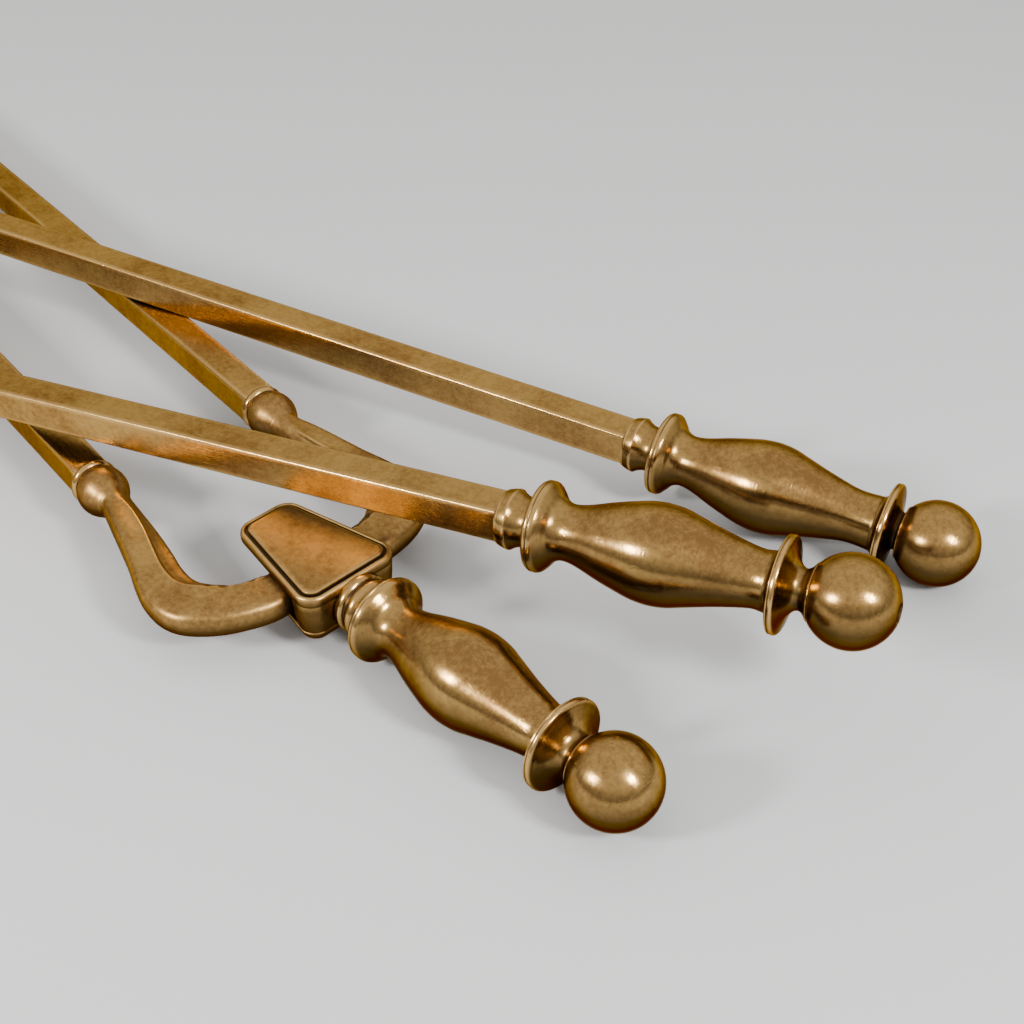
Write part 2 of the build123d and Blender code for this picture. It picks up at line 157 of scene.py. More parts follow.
def lathe(name, line, place, body, stands_for, slot, grimy_and_shaded=0):
    """Turned piece about its own X axis from (station, radius) points, the first few full of grime and
    painted shade.
    """
    verts, depth = [], []
    for point, hollow in zip(line, [1.0] * grimy_and_shaded + hollows(line)[grimy_and_shaded:]):
        for j in range(AROUND):
            angle = 2 * math.pi * j / AROUND
            verts.append((point.x, point.y * math.cos(angle), point.y * math.sin(angle)))
            depth.append(hollow)
    add_piece(name, verts, grid_faces(len(line), AROUND), depth, place, body, stands_for, slot)


# ---------------------------------------------------------------- materials

def shader(name):
    """New material, its node tree and its Principled shader."""
    material = bpy.data.materials.new(name)
    material.use_nodes = True
    tree = material.node_tree
    return material, tree, tree.nodes["Principled BSDF"]


def feed(tree, node, **inputs):
    """Sets inputs of a node to values or sockets. A key is the input's name with _ for a space, or i
    and its number."""
    for key, value in inputs.items():
        numbered = key[0] == "i" and key[1:].isdigit()
        socket = node.inputs[int(key[1:]) if numbered else key.replace("_", " ")]
        if isinstance(value, bpy.types.NodeSocket):
            tree.links.new(value, socket)
        else:
            socket.default_value = value


def add(tree, kind, settings=None, **inputs):
    """Adds a node with its settings and its inputs."""
    node = tree.nodes.new(kind)
    for key, value in (settings or {}).items():
        setattr(node, key, value)
    feed(tree, node, **inputs)
    return node


def cloud(tree, scale, detail, rough, finer=(1, 1, 1)):
    """Noise in the piece's own coordinates in metres, finer along each axis by its number."""
    own = add(tree, "ShaderNodeTexCoord").outputs["Object"]
    place = add(tree, "ShaderNodeMapping", Vector=own, Scale=finer).outputs["Vector"]
    node = add(tree, "ShaderNodeTexNoise", Vector=place, Scale=scale, Detail=detail, Roughness=rough)
    return node.outputs["Fac"]


def ramp(tree, value, low, high, out_low=0.0, out_high=1.0):
    """Maps a value between two limits, clamped."""
    node = add(tree, "ShaderNodeMapRange", Value=value, From_Min=low, From_Max=high,
               To_Min=out_low, To_Max=out_high)
    return node.outputs["Result"]


def calculate(tree, operation, a, b):
    """A sum, difference or product of two values."""
    return add(tree, "ShaderNodeMath", {"operation": operation}, i0=a, i1=b).outputs["Value"]


def mix(tree, share, a, b):
    """Colour a, with a share of colour b. The mix node's colours are its inputs 6 and 7."""
    node = add(tree, "ShaderNodeMix", {"data_type": "RGBA"}, Factor=share, i6=a, i7=b)
    return node.outputs[2]


BRIGHT = (0.74, 0.46, 0.17, 1)         # brass worn bright on edges
BRASS = (0.47, 0.285, 0.09, 1)
BROWN = (0.25, 0.13, 0.042, 1)         # brass under its patina
PAINTED_SHADE = (0.06, 0.036, 0.012, 1)        # painted shade on surfaces that face downward
SOOT_AND_SHADE = (0.03, 0.022, 0.016, 1)         # grime in grooves and pits, and painted shade in grooves and in the tip hole
EDGE_TINT = (0.45, 0.32, 0.17, 1)      # tint of the metal's reflection at a grazing angle
STEEL_DARK = (0.16, 0.15, 0.14, 1)
STEEL_LIGHT = (0.42, 0.41, 0.39, 1)
# Largest shares of the colours that lie over the patina: painted shade on undersides, bright wear on edges,
# and grime with painted shade in grooves
MOST_PAINTED_SHADE, MOST_BRIGHT, MOST_SOOT_AND_SHADE = 0.93, 0.6, 0.85
# Heights of the tool marks, the mottling and the scratches, as shares of the bump's distance
LINE_HIGH, MOTTLE_HIGH, CUT_HIGH = 0.3, 0.3, -0.35
BUMP_STRENGTH, BUMP_DISTANCE = 0.17, 0.0004


def brass_colour(tree, hollow, patina, mottle, speck, tarnish, under):
    """Patina and mottling, then painted shade on undersides, bright worn edges, grime and painted shade in
    grooves, and dark specks.
    """
    clouds = calculate(tree, "ADD", ramp(tree, patina, 0.36, 0.66, 0, 0.8),
                       ramp(tree, mottle, 0.36, 0.66, -0.28, 0.42))
    colour = mix(tree, calculate(tree, "MULTIPLY", clouds, 0.6 + tarnish), BRASS, BROWN)
    own_normal = add(tree, "ShaderNodeTexCoord").outputs["Normal"]
    upright = add(tree, "ShaderNodeSeparateXYZ", Vector=own_normal).outputs["Z"]
    # painted shade: the colour darkens on surfaces that face down in the piece's own axes
    colour = mix(tree, ramp(tree, upright, *under, 0, MOST_PAINTED_SHADE), colour, PAINTED_SHADE)
    colour = mix(tree, ramp(tree, hollow, -0.05, -0.6, 0, MOST_BRIGHT), colour, BRIGHT)
    # grime and painted shade: the colour darkens in grooves and hollows
    colour = mix(tree, ramp(tree, hollow, 0.08, 0.8, 0, MOST_SOOT_AND_SHADE), colour, SOOT_AND_SHADE)
    return mix(tree, speck, colour, SOOT_AND_SHADE)


def brass_roughness(tree, hollow, patina, fine_lines, gloss):
    """Rougher in the patina, along the tool marks and in the grooves."""
    rough = calculate(tree, "ADD", ramp(tree, patina, 0.3, 0.7, gloss, gloss + 0.1),
                      ramp(tree, fine_lines, 0.35, 0.7, -0.02, 0.05))
    return calculate(tree, "ADD", rough, ramp(tree, hollow, 0.05, 0.5, 0, 0.2))


def brass_relief(tree, fine_lines, mottle, scratches, hatch, speck):
    """Height of the tool marks and mottling, less the scratches both ways and the pits."""
    marks = calculate(tree, "ADD", calculate(tree, "MULTIPLY", fine_lines, LINE_HIGH),
                      calculate(tree, "MULTIPLY", mottle, MOTTLE_HIGH))
    cuts = calculate(tree, "ADD", ramp(tree, scratches, 0.66, 0.72, 0, CUT_HIGH),
                     ramp(tree, hatch, 0.67, 0.73, 0, CUT_HIGH))
    return calculate(tree, "SUBTRACT", calculate(tree, "ADD", marks, cuts), speck)


def aged_brass(name, lines=(1, 1, 1), line_scale=900, gloss=0.2, tarnish=0.5, pits=0.3, turned=0.0,
               under=(0.4, -0.3)):
    """Old polished brass: brown patina in clouds, grime and painted shade in grooves, bright edges, fine
    lines and pits. lines is how much finer the tool marks are along each axis, gloss is the least
    roughness, turned is how strongly it is brushed round X, and under is the upward part of the
    surface's direction from which painted shade darkens it and at which that painted shade is darkest."""
    material, tree, surface = shader(name)
    hollow = add(tree, "ShaderNodeAttribute", {"attribute_name": "hollow"}).outputs["Fac"]
    patina = cloud(tree, scale=42, detail=6, rough=0.62)
    mottle = cloud(tree, scale=560, detail=6, rough=0.75)
    fine_lines = cloud(tree, scale=line_scale, detail=3, rough=0.6, finer=lines)
    scratches = cloud(tree, scale=160, detail=2, rough=0.5, finer=(9, 1.2, 1.2))
    hatch = cloud(tree, scale=170, detail=2, rough=0.5, finer=(1.2, 8, 3))
    speck = ramp(tree, cloud(tree, scale=900, detail=2, rough=0.4), 0.70, 0.78, 0, pits)
    relief = brass_relief(tree, fine_lines, mottle, scratches, hatch, speck)
    bump = add(tree, "ShaderNodeBump", Strength=BUMP_STRENGTH, Distance=BUMP_DISTANCE, Height=relief)
    feed(tree, surface,
         Base_Color=brass_colour(tree, hollow, patina, mottle, speck, tarnish, under),
         Roughness=brass_roughness(tree, hollow, patina, fine_lines, gloss),
         Normal=bump.outputs["Normal"], Metallic=1.0, Specular_Tint=EDGE_TINT)
    if turned:
        round_axis = add(tree, "ShaderNodeTangent", {"direction_type": "RADIAL", "axis": "X"})
        feed(tree, surface, Tangent=round_axis.outputs["Tangent"], Anisotropic=turned,
             Anisotropic_Rotation=0.25)
    return material


def dark_steel():
    """Oiled steel of the rods and pins."""
    material, tree, surface = shader("dark_steel")
    grain = cloud(tree, scale=500, detail=4, rough=0.6)
    feed(tree, surface, Base_Color=mix(tree, grain, STEEL_DARK, STEEL_LIGHT),
         Roughness=ramp(tree, grain, 0.3, 0.7, 0.3, 0.5), Metallic=1.0)
    return material


# The material of each of the record's material slots.
# under, in each finish, is the range over which painted shade darkens its undersides.
FINISHES = {
    "turned_brass": aged_brass("turned_brass", lines=(14, 1, 1), line_scale=260, gloss=0.15,
                               turned=0.45, under=(0.62, -0.08)),
    "drawn_brass": aged_brass("drawn_brass", lines=(1, 16, 16), line_scale=120, gloss=0.2,
                              tarnish=0.4, under=(-0.15, -0.8)),
    "cast_brass": aged_brass("cast_brass", line_scale=700, gloss=0.31, tarnish=0.6, pits=0.25,
                             under=(0.45, -0.15)),
    "working_brass": aged_brass("working_brass", lines=(1, 6, 6), line_scale=200, gloss=0.3,
                                tarnish=0.7, pits=0.5),
    "steel": dark_steel(),
}


# ---------------------------------------------------------------- the turned handles

BALL_STEPS = 46
SEAT_BREAK = 0.35            # how much the ball's flat seat is smaller than its last section
FLANGE_THICK = 2.5
TONGS_FLANGE_END, SHOVEL_FLANGE_END, POKER_FLANGE_END = 21.2, 21.2, 17.4
HOLE_RADIUS, HOLE_DEPTH, HOLE_CONE = 2.0, 6.9, 0.6     # hole in a ball's tip, and its drilled end
# Mouth of the hole in the ball's tip: how deep, and how much wider than the hole.
HOLE_MOUTH = [(2.0, 0.0), (1.0, 0.05), (0.9, 0.3), (0.55, 0.75), (0.42, 0.85)]
HOLE_CLEAR = 1.0             # the ball's own surface starts this much further out than the hole


def ball_line(holed):
    """Outline of a ball finial from its tip to its flat seat, with or without a hole in the tip."""
    start = math.asin(HOLE_RADIUS / BALL_RADIUS) if holed else 0.0
    end = math.acos(-BALL_SEAT / BALL_RADIUS)
    angles = [start + (end - start) * i / BALL_STEPS for i in range(BALL_STEPS + 1)]
    arc = [(-BALL_RADIUS * math.cos(a), BALL_RADIUS * math.sin(a)) for a in angles]
    hole = []
    if holed:
        tip = arc[0][0]
        hole = [(tip + HOLE_DEPTH, ON_AXIS), (tip + HOLE_DEPTH - HOLE_CONE, HOLE_RADIUS)]
        hole += [(tip + deep, HOLE_RADIUS + wider) for deep, wider in HOLE_MOUTH]
        arc = [p for p in arc if p[1] > HOLE_RADIUS + HOLE_CLEAR]
    seat = BALL_SEAT + 0.02
    return [Vector(p) for p in hole + arc + [(seat, arc[-1][1] - SEAT_BREAK), (seat, ON_AXIS)]]


def grip_line(flange_end):
    """Outline of a grip: seat, dished flange, baluster body, bell and its flange."""
    dish = flange_end - FLANGE_THICK
    neck = BALL_SEAT + 0.42 * (dish - BALL_SEAT)
    return outline_of(
        (BALL_SEAT, ON_AXIS), [(BALL_SEAT, 8.5)],
        [(11.0, 8.8), (11.35, 8.6)],
        [((neck + 11.2) / 2, 7.0), (neck, 6.25), (neck + 0.35 * (dish - neck), 6.9),
         (neck + 0.7 * (dish - neck), 9.3), (dish - 0.3, 12.6), (dish, 13.9)],
        [(dish + 0.3, 14.5), (dish + 0.9, 14.8), (dish + 1.5, 14.7)],
        [(dish + 1.65, 14.55), (dish + 1.8, 14.7)],
        [(dish + 2.15, 14.68), (flange_end, 14.1)],
        [(flange_end + 0.4, 12.2), (flange_end + 1.0, 10.5), (flange_end + 2.0, 9.5),
         (flange_end + 3.4, 9.1), (28.5, 9.0), (38.0, 11.0), (47.5, 13.55), (52.5, 14.9), (57.5, 15.4),
         (62.0, 15.1), (66.0, 14.3), (74.0, 12.1), (81.0, 9.8), (85.0, 8.9), (87.6, 8.95), (89.8, 10.0),
         (91.4, 11.9), (92.6, 13.3)],
        [(93.2, 13.85), (93.9, 14.15), (94.5, 14.2)],
        [(94.7, 13.95), (94.95, 14.15)],
        [(95.6, 14.15), (96.3, 13.7)],
        [(GRIP_END, 13.2)],
        [(GRIP_END, ON_AXIS)])


def ferrule_line():
    """Outline of the cove behind the bell and the ring that tapers to a straight shaft."""
    return outline_of(
        (GRIP_END, ON_AXIS), [(GRIP_END, 11.0)],
        [(97.0, 9.5), (97.9, 8.3), (99.4, 7.8), (101.2, 7.95), (102.8, 8.6), (103.9, 9.3)],
        [(104.15, 9.5), (104.5, 9.55)],
        [(104.8, 9.5), (106.2, 9.2), (107.5, 8.8)],
        [(107.9, 8.55)],
        [(FERRULE_END, 8.2)],
        [(FERRULE_END, ON_AXIS)])


def tongs_ferrule_line():
    """Outline of the bead and ring between the tongs grip and the hinge housing."""
    return outline_of(
        (GRIP_END, ON_AXIS), [(GRIP_END, 11.2)],
        [(96.9, 9.6), (97.6, 8.7), (98.6, 8.5), (99.4, 8.9)],
        [(99.6, 9.4)],
        [(100.6, 10.1), (101.6, 10.3), (102.7, 10.0), (103.4, 9.4)],
        [(103.6, 8.9)],
        [(104.1, 8.7), (104.6, 8.8)],
        [(104.8, 9.3)],
        [(105.4, 9.8), (106.4, 9.9), (107.4, 9.7)],
        [(FERRULE_END, 9.3)],
        [(FERRULE_END, ON_AXIS)])


def make_handle(tool, place, ferrule, flange_end, holed=False):
    """Ball, grip and ferrule of one tool. All of the tip hole but the last point of its mouth is painted dark
    with grime and painted shade.
    """
    grimy_and_shaded = 1 + len(HOLE_MOUTH) if holed else 0
    lathe(tool + "_ball_finial", ball_line(holed), place, tool, [tool + "_ball"], "turned_brass", grimy_and_shaded)
    lathe(tool + "_turned_grip", grip_line(flange_end), place, tool, [tool + "_grip"], "turned_brass")
    lathe(tool + "_turned_ferrule", ferrule, place, tool, [tool + "_ferrule"], "turned_brass")


# ---------------------------------------------------------------- square shafts

BAR_EDGE = 0.75              # radius of a shaft's edges
WORN_EDGE = -0.45            # how bright those edges are, as a hollow
STATION_GAP = 4              # between the sections of a long bar
SIZE_WANDER, TWIST_WANDER = 0.006, 0.006     # how uneven a hand-finished bar is


def bar_section(y_low, y_high, half_z, edge, steps=4):
    """Rectangle with rounded corners in the Y-Z plane, as (y, z, hollow) points."""
    middle_y, half_y = (y_low + y_high) / 2, (y_high - y_low) / 2
    ring = []
    for quarter in range(4):
        turn = quarter * math.pi / 2
        side_y, side_z = (half_y, half_z) if quarter % 2 == 0 else (half_z, half_y)
        corner_y, corner_z = side_y - edge, side_z - edge
        for i in range(steps + 1):
            angle = math.pi / 2 * i / steps
            y, z = corner_y + edge * math.cos(angle), corner_z + edge * math.sin(angle)
            ring.append((y, z, turn, WORN_EDGE))
        for share in (0.12, 0.5, 0.88):
            ring.append((corner_y - 2 * corner_y * share, side_z, turn, 0.0))
    return [(middle_y + y * math.cos(turn) - z * math.sin(turn),
             y * math.sin(turn) + z * math.cos(turn), hollow) for y, z, turn, hollow in ring]


def bar_loft(name, stations, place, body, stands_for, slot, edge=BAR_EDGE, seed=0.0):
    """Hand-finished bar along X through (x, y low, y high, half height) stations, very slightly uneven."""
    verts, depth = [], []
    for x, y_low, y_high, half_z in stations:
        size = 1 + SIZE_WANDER * noise.noise((x * 0.045, seed, 0.0))
        twist = TWIST_WANDER * noise.noise((x * 0.012, seed, 7.0))
        for y, z, hollow in bar_section(y_low, y_high, half_z, min(edge, 0.45 * half_z)):
            verts.append((x, (y - z * twist) * size, (z + y * twist) * size))
            depth.append(hollow)
    faces = grid_faces(len(stations), len(verts) // len(stations))
    add_piece(name, verts, faces, depth, place, body, stands_for, slot, 40)


def bar_stations(start, end, y_low=-SHAFT_HALF, y_high=SHAFT_HALF):
    """Evenly spaced stations of a straight shaft with a small bevel at both ends."""
    bevel, bevel_long = 0.3, 0.4
    inner = [start + STATION_GAP * i for i in range(1, int((end - start) / STATION_GAP))]
    full = [(x, y_low, y_high, SHAFT_HALF) for x in [start + bevel_long] + inner + [end - bevel_long]]
    small = (y_low + bevel, y_high - bevel, SHAFT_HALF - bevel)
    return [(start, *small)] + full + [(end, *small)]


def extent(node, place):
    """Lowest and highest corner of a CAD node in the given axes, in millimetres."""
    back = place.inverted()
    points = [back @ vertex.co / MM for vertex in frame["nodes"][node].data.vertices]
    return (Vector([min(p[k] for p in points) for k in range(3)]),
            Vector([max(p[k] for p in points) for k in range(3)]))


# ---------------------------------------------------------------- tongs arms

# Places are those of the arm on the +Y side, drawn closed.
PIVOT = Vector((129.0, 9.0, 0.0))
SHAFT_ROOT = Vector((218.7, 30.3, 0.0))
SHAFT_LEAN = math.radians(2.5)         # of the shaft, towards the other arm
SHAFT_LENGTH = 418.0
# Along the closed arm: centre x and y, half width, half height, place of the ridge across the width
# (from 1 at the outer edge to -1 at the inner edge), and how round the section is.
ARM_STATIONS = [(129.0, 8.5, 7.2, 4.7, -0.5, 0.0), (128.4, 18.2, 9.0, 4.7, -0.5, 0.0),
                (130.4, 27.0, 9.1, 4.75, -0.52, 0.0), (134.6, 34.2, 9.8, 4.8, -0.56, 0.0),
                (140.8, 39.4, 10.4, 4.85, -0.46, 0.0), (148.6, 41.0, 9.2, 4.85, -0.28, 0.0),
                (157.5, 39.9, 8.1, 4.85, -0.2, 0.0), (167.0, 37.5, 7.4, 4.85, -0.2, 0.0),
                (179.0, 35.0, 6.7, 4.9, -0.34, 0.0), (190.0, 33.0, 5.9, 4.95, -0.45, 0.2),
                (198.0, 31.6, 5.3, 5.0, -0.6, 0.8)]
# (place from the shaft's root, radius) of the bulb and of the groove after it
BULB = [(-17.4, 5.4), (-15.6, 6.1), (-13.2, 7.4), (-10.4, 8.5), (-7.8, 8.75), (-5.6, 8.45), (-4.5, 7.9)]
GROOVE = [(-4.4, 7.5), (-4.1, 7.25), (-3.0, 7.25)]
ROUND = (-0.6, 1.0)                    # ridge and roundness there
CAST_SKIN_END = Vector((138.0, 37.0))  # the rough casting skin on an arm's upper side ends here
CAST_SKIN_DEEP = 0.7


def ridged_section(ridge):
    """Upper half of an arm's section from its outer to its inner edge: flat top, ridge, hollow slope."""
    slope = (ridge - 1) / 2
    return [(1.0, 0.0), (0.97, 0.42), (0.87, 0.78), (0.7, 0.96), (0.45, 1.0), (ridge + 0.22, 1.0),
            (ridge + 0.05, 1.03), (ridge - 0.04, 0.97), (ridge - 0.12, 0.76), (slope - 0.1, 0.52),
            (-0.9, 0.4), (-0.985, 0.22), (-1.0, 0.0)]


def closed_line(points, steps=4):
    """Smooth closed curve through the given points."""
    around = points[-2:] + points + points[:2]
    dense = smooth_line(around, steps)
    return dense[2 * steps:(2 + len(points)) * steps]


def arm_section(ridge, roundness):
    """Closed section of an arm, blended towards a circle."""
    upper = ridged_section(ridge)
    ring = upper + [(u, -z) for u, z in reversed(upper[1:-1])]
    mixed = []
    for i, (u, z) in enumerate(ring):
        angle = 2 * math.pi * i / len(ring)
        mixed.append((u + (math.cos(angle) - u) * roundness, z + (math.sin(angle) - z) * roundness))
    return closed_line(mixed)


def arm_stations():
    """Centre x and y, half sizes, ridge and roundness along the arm, its bulb and groove included."""
    along = Vector((math.cos(SHAFT_LEAN), -math.sin(SHAFT_LEAN)))
    centre = Vector(SHAFT_ROOT[:2])
    bulb, groove = [[Vector((*(centre + along * place), radius, radius, *ROUND)) for place, radius in part]
                    for part in (BULB, GROOVE)]
    return smooth_line(ARM_STATIONS + bulb, 7) + groove


def arm_bow(name, side, place, body, stands_for):
    """Cast lyre-shaped arm with its turned bulb, lofted along its bend."""
    path = arm_stations()
    verts, depth = [], []
    for i, (x, y, wide, high, ridge, roundness) in enumerate(path):
        before, after = path[max(i - 1, 0)], path[min(i + 1, len(path) - 1)]
        along = Vector((after[0] - before[0], after[1] - before[1])).normalized()
        out = Vector((-along.y, along.x))
        for u, z in arm_section(ridge, roundness):
            spot = Vector((x, y)) + out * u * wide
            cast_skin = 0.0
            if x < CAST_SKIN_END.x and y < CAST_SKIN_END.y and u < ridge + 0.1 and z > 0.1:
                cast_skin = max(0.0, noise.noise(Vector((spot.x * 0.55, spot.y * 0.55, z))) + 0.25)
            verts.append((spot.x, side * spot.y, z * high - CAST_SKIN_DEEP * cast_skin))
            # The ridge is worn bright; the fold beside it and the casting skin get grime and painted shade.
            edge = max(0.0, 1 - abs(u - ridge) / 0.12) * (0.4 < abs(z))
            fold = max(0.0, 1 - abs(u - ridge + 0.28) / 0.2) * (0.2 < abs(z))
            depth.append((0.45 * fold - 0.5 * edge) * (1 - roundness) + 0.8 * cast_skin)
    around = len(verts) // len(path)
    # The groove after the bulb gets grime and painted shade.
    in_groove = around * len(GROOVE)
    depth[-in_groove:] = [0.5] * in_groove
    faces = grid_faces(len(path), around, mirrored=side < 0)
    add_piece(name, verts, faces, depth, place, body, stands_for, "cast_brass", 50)


def bead_line():
    """Outline of the bead ring at the head of a tongs shaft; station 0 is the start of the shaft."""
    return outline_of(
        (-3.0, ON_AXIS), [(-3.0, 7.0)],
        [(-2.8, 7.7)],
        [(-2.3, 8.15), (-1.5, 8.3), (-0.8, 8.1), (-0.35, 7.8)],
        [(0.0, 7.4)],
        [(0.0, ON_AXIS)])


def arm_place(name, side):
    """Axes of the tongs turned about the arm's pivot, as far as the arm lies from its drawn place."""
    pivot = Vector((PIVOT.x, side * PIVOT.y, 0))
    reach = SHAFT_LENGTH / 2
    drawn = SHAFT_ROOT + reach * Vector((math.cos(SHAFT_LEAN), -math.sin(SHAFT_LEAN), 0))
    drawn = Vector((drawn.x, side * drawn.y, 0)) - pivot
    lies = TONGS.inverted() @ middle(name + "_shaft") / MM - pivot
    turn = math.atan2(lies.y, lies.x) - math.atan2(drawn.y, drawn.x)
    swing = Matrix.Translation(pivot * MM) @ Matrix.Rotation(turn, 4, "Z") @ Matrix.Translation(-pivot * MM)
    return TONGS @ swing


# Claws, in the axes of their shaft: Y points away from the other arm on the +Y side.
LAP_START = 376.6            # where the shaft is halved to take the claw's lap
LAP_FACE = -0.9              # where the lap lies on the shaft
LAP_HALF = 5.1               # half the lap's width
PAD_PLACE = 410.0
PAD_DEEP = 2.8               # from the pad's gripping face to its middle
PAD_BACK = 1.0               # from its middle to the far side of the lap
RIVET_PLACES = (12, 27)      # from the start of the lap
RIVET_SHANK, RIVET_FOOT = 2.5, 3.3     # radii of the shank and of the head where it sits
# Domed rivet head: (height, radius) from its top down
RIVET_DOME = [(0.9, ON_AXIS), (0.8, 1.4), (0.45, 2.6)]


def pad_line():
    """Outline of a gripping pad: dished face, raised rim, groove, flat ring and rounded edge."""
    return outline_of(
        (-0.4, ON_AXIS), [(-0.45, 1.6), (-0.7, 3.5), (-1.35, 6.2), (-2.0, 8.1)],
        [(-2.25, 8.6), (-2.25, 9.4)],
        [(-1.7, 9.9)],
        [(-1.7, 10.5)],
        [(-2.2, 11.0)],
        [(-2.2, 13.6)],
        [(-2.0, 14.6), (-1.2, 15.35), (0.0, 15.4), (1.2, 15.35), (2.0, 14.6), (2.2, 13.6)],
        [(2.2, ON_AXIS)])


def claw_rivet_line(length):
    """Outline of a rivet with two domed heads; station 0 is the outer face of the shaft."""
    head = [(-height, radius) for height, radius in RIVET_DOME]
    tail = [(length + height, radius) for height, radius in reversed(RIVET_DOME)]
    return outline_of(
        head[0], head[1:] + [(0.0, RIVET_FOOT)],
        [(0.05, RIVET_SHANK)],
        [(length - 0.05, RIVET_SHANK)],
        [(length, RIVET_FOOT)],
        tail)


def along_y(side):
    """Turns a piece drawn along X to point outwards along Y, on one side of the tongs."""
    return Matrix.Rotation(side * math.pi / 2, 4, "Z")


def make_claw(name, side, shaft, body):
    """Cupped gripping pad, the lap behind it and the two rivets through the lap and the shaft."""
    low, high = extent(name + "_claw", shaft)
    centre = (low.y if side > 0 else -high.y) + PAD_DEEP
    back = centre + PAD_BACK
    turn = Matrix.Rotation(side * SHAFT_LEAN, 4, "Z") @ along_y(side)
    pad_place = shaft @ Matrix.Translation(Vector((PAD_PLACE, side * centre, 0)) * MM) @ turn
    lathe(name + "_claw_pad", pad_line(), pad_place, body, [name + "_claw"], "working_brass")

    # place along the shaft, side away from the shaft, half width: a step, then a slope to the pad's back
    lap = [(LAP_START, LAP_FACE - 3.0, LAP_HALF - 0.5), (LAP_START + 1.5, LAP_FACE - 4.4, LAP_HALF),
           (LAP_START + 6, back + 0.5, LAP_HALF), (LAP_START + 12, back, LAP_HALF),
           (SHAFT_LENGTH - 3, back, LAP_HALF), (SHAFT_LENGTH - 0.5, back, LAP_HALF - 0.9)]
    stations = [(x, *sorted((side * far, side * LAP_FACE)), half) for x, far, half in lap]
    bar_loft(name + "_claw_lap", stations, shaft, body, [], "working_brass", 1.2)

    rivet = claw_rivet_line(SHAFT_HALF - back)
    for number, x in enumerate(RIVET_PLACES):
        spot = Vector((LAP_START + x, side * SHAFT_HALF, 0)) * MM
        place = shaft @ Matrix.Translation(spot) @ along_y(-side)
        stands_for = [name + "_claw_rivets"] if number == 0 else []
        lathe(f"{name}_claw_rivet_{number + 1}", rivet, place, body, stands_for, "working_brass")


def make_arm(name, side):
    """Bow with its bulb, bead ring, square shaft and claw of one tongs arm."""
    body = name + "_arm"
    place = arm_place(name, side)
    root = Matrix.Translation(Vector((SHAFT_ROOT.x, side * SHAFT_ROOT.y, 0)) * MM)
    shaft = place @ root @ Matrix.Rotation(-side * SHAFT_LEAN, 4, "Z")
    arm_bow(name + "_lyre_bow", side, place, body, [name + "_arm_bow"])
    lathe(name + "_bead_ring", bead_line(), shaft, body, [name + "_arm_bead"], "turned_brass")
    low, high = sorted((side * LAP_FACE, side * SHAFT_HALF))
    stations = bar_stations(0, LAP_START) + bar_stations(LAP_START, SHAFT_LENGTH, low, high)
    bar_loft(name + "_square_shaft", stations, shaft, body, [name + "_shaft"], "drawn_brass", seed=3.0 + side)
    make_claw(name, side, shaft, body)


# ---------------------------------------------------------------- hinge housing

TIP, UNDER_TIP, HEEL_END, RIB_END = 154.6, 143.0, 118.0, 148.0
WIDE, NARROW = 19.4, 10.6              # half widths of the upper plate at its heel and its tip
LEAN = (WIDE - NARROW) / (TIP - FERRULE_END)
CORNER, UNDER_CORNER, HEEL_CORNER = 6.0, 4.5, 1.2
RIB_HALF = 1.6


def rounded_outline(corners, radii, steps=8):
    """Plan outline with its corners rounded, each with its own radius."""
    ring = []
    for i, corner in enumerate(corners):
        here, before, after = Vector(corner), Vector(corners[i - 1]), Vector(corners[(i + 1) % len(corners)])
        a, b = (before - here).normalized(), (after - here).normalized()
        half = a.angle(b) / 2
        centre = here + (a + b).normalized() * radii[i] / math.sin(half)
        first, last = here + a * radii[i] / math.tan(half), here + b * radii[i] / math.tan(half)
        for j in range(steps + 1):
            mixed = (first - centre).lerp(last - centre, j / steps)
            ring.append(centre + mixed.normalized() * radii[i])
    return ring


def plate_outline(tip, tip_corner=CORNER):
    """Outline of a housing plate as a function of how far it is shrunk."""
    def outline(inset):
        start, end = FERRULE_END + inset, tip - inset
        wide, narrow = WIDE - inset - LEAN * inset, WIDE - inset - LEAN * (end - FERRULE_END)
        heel, nose = max(1.0, CORNER - inset * 0.9), max(0.8, tip_corner - inset * 0.9)
        return rounded_outline([(start, -wide), (end, -narrow), (end, narrow), (start, wide)],
                               [heel, nose, nose, heel])
    return outline


def rib_outline(inset):
    """Outline of the rib between the arms. It starts inside the heel block."""
    start, wide = HEEL_END - 1, RIB_HALF - inset
    narrow = wide - 0.4
    return rounded_outline([(start, -wide), (RIB_END, -narrow), (RIB_END, narrow), (start, wide)],
                           [0.3, 0.6, 0.6, 0.3])


def stack(name, outline, levels, place, stands_for, flip=False):
    """Solid built of plan outlines, one for each (inset, height, hollow) level, or upside down."""
    verts, depth = [], []
    for inset, height, hollow in levels:
        for point in outline(inset):
            verts.append((point.x, point.y, -height if flip else height))
            depth.append(hollow)
    faces = grid_faces(len(levels), len(verts) // len(levels), mirrored=flip)
    add_piece(name, verts, faces, depth, place, "tongs", stands_for, "cast_brass", 32)


# (inset, height, hollow) levels of each part of the housing; height 0 is the middle of the arms. A high
# hollow paints grime and painted shade into a groove.
PLATE = [(1.4, 5.0, 0), (0.6, 5.1, 0), (0.15, 5.6, -0.2), (0.0, 6.3, 0), (0.0, 7.5, 0), (0.1, 8.2, -0.2),
         (0.4, 8.75, -0.5), (0.8, 9.0, -0.5), (1.2, 9.02, -0.3), (1.5, 8.8, 0.0), (1.65, 8.3, 0.8),
         (1.8, 8.2, 1.0), (2.8, 8.2, 1.0)]
